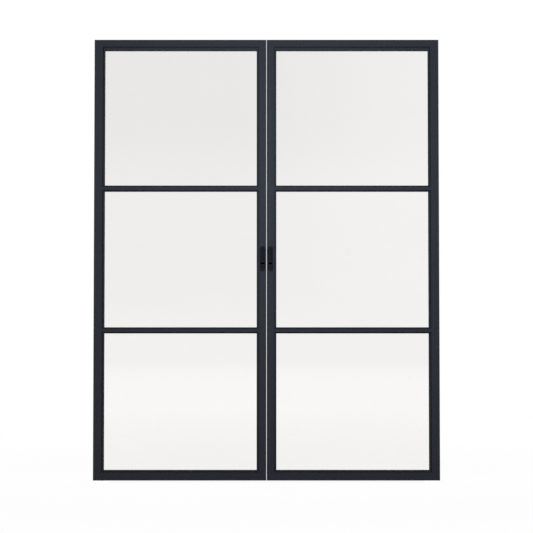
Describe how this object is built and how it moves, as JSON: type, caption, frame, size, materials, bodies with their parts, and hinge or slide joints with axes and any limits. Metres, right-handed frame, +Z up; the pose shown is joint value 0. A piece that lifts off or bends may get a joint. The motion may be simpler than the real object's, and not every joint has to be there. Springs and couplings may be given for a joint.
{
  "type": "double pocket door",
  "caption": "Double pocket door of glazed leaves in slim dark aluminium frames with glazing bars, obround flush pulls with thumb slides, and hook locks in the meeting edges.",
  "frame": {"origin": "on the floor, midway between the two closed leaves and in their middle plane", "axes": "+Z up, +X to the right as seen from the front, front faces towards -Y"},
  "size_m": [1.656, 0.044, 2.121],
  "materials": {
    "powder_coat": "matte",
    "bare_aluminium": "satin",
    "clear_glass": "gloss",
    "gasket_rubber": "matte",
    "zinc_steel": "satin",
    "pull_coat": "satin",
    "blackened_steel": "satin",
    "black_plastic": "matte",
    "clear_plastic": "gloss"
  },
  "bodies": {
    "floor_guides": {"left_floor_guide": "clear_plastic", "right_floor_guide": "clear_plastic"},
    "left_leaf": {"left_outer_stile": "powder_coat", "left_meeting_stile": "powder_coat", "left_top_rail": "powder_coat", "left_bottom_rail": "powder_coat", "left_upper_bar": "powder_coat", "left_lower_bar": "powder_coat", "left_joint_blocks": "bare_aluminium", "left_joint_screws": "zinc_steel", "left_upper_pane": "clear_glass", "left_middle_pane": "clear_glass", "left_lower_pane": "clear_glass", "left_upper_beads": "powder_coat", "left_middle_beads": "powder_coat", "left_lower_beads": "powder_coat", "left_gaskets": "gasket_rubber", "left_setting_blocks": "black_plastic", "left_hanger_plates": "zinc_steel", "left_hanger_screws": "zinc_steel", "left_end_caps": "black_plastic", "left_front_pull": "pull_coat", "left_rear_pull": "pull_coat", "left_lock_case": "blackened_steel", "left_faceplate": "pull_coat", "left_pull_screws": "pull_coat", "left_faceplate_screws": "pull_coat"},
    "left_snib": {"left_front_slide": "pull_coat", "left_rear_slide": "pull_coat", "left_snib_bar": "blackened_steel"},
    "left_hook": {"left_hook": "zinc_steel"},
    "right_leaf": {"right_outer_stile": "powder_coat", "right_meeting_stile": "powder_coat", "right_top_rail": "powder_coat", "right_bottom_rail": "powder_coat", "right_upper_bar": "powder_coat", "right_lower_bar": "powder_coat", "right_joint_blocks": "bare_aluminium", "right_joint_screws": "zinc_steel", "right_upper_pane": "clear_glass", "right_middle_pane": "clear_glass", "right_lower_pane": "clear_glass", "right_upper_beads": "powder_coat", "right_middle_beads": "powder_coat", "right_lower_beads": "powder_coat", "right_gaskets": "gasket_rubber", "right_setting_blocks": "black_plastic", "right_hanger_plates": "zinc_steel", "right_hanger_screws": "zinc_steel", "right_end_caps": "black_plastic", "right_front_pull": "pull_coat", "right_rear_pull": "pull_coat", "right_lock_case": "blackened_steel", "right_faceplate": "pull_coat", "right_pull_screws": "pull_coat", "right_faceplate_screws": "pull_coat"},
    "right_snib": {"right_front_slide": "pull_coat", "right_rear_slide": "pull_coat", "right_snib_bar": "blackened_steel"},
    "right_hook": {"right_hook": "zinc_steel"}
  },
  "joints": [
    {"name": "left_leaf_slide", "type": "slide", "parent": "floor_guides", "child": "left_leaf", "axis": [-1, 0, 0], "range_m": [0, 0.74]},
    {"name": "left_snib_slide", "type": "slide", "parent": "left_leaf", "child": "left_snib", "axis": [0, 0, 1], "range_m": [0, 0.0085]},
    {"name": "left_hook_turn", "type": "hinge", "parent": "left_leaf", "child": "left_hook", "pos_m": [-0.0145, 0, 1.0254], "axis": [0, 1, 0], "range_deg": [0, 90]},
    {"name": "right_leaf_slide", "type": "slide", "parent": "floor_guides", "child": "right_leaf", "axis": [1, 0, 0], "range_m": [0, 0.74]},
    {"name": "right_snib_slide", "type": "slide", "parent": "right_leaf", "child": "right_snib", "axis": [0, 0, 1], "range_m": [0, 0.0085]},
    {"name": "right_hook_turn", "type": "hinge", "parent": "right_leaf", "child": "right_hook", "pos_m": [0.0145, 0, 1.0654], "axis": [0, -1, 0], "range_deg": [0, 90]}
  ],
  "couplings": [
    {"joint": "left_hook_turn", "follows": "left_snib_slide", "rad_per_m": 184.8},
    {"joint": "right_hook_turn", "follows": "right_snib_slide", "rad_per_m": 184.8}
  ]
}
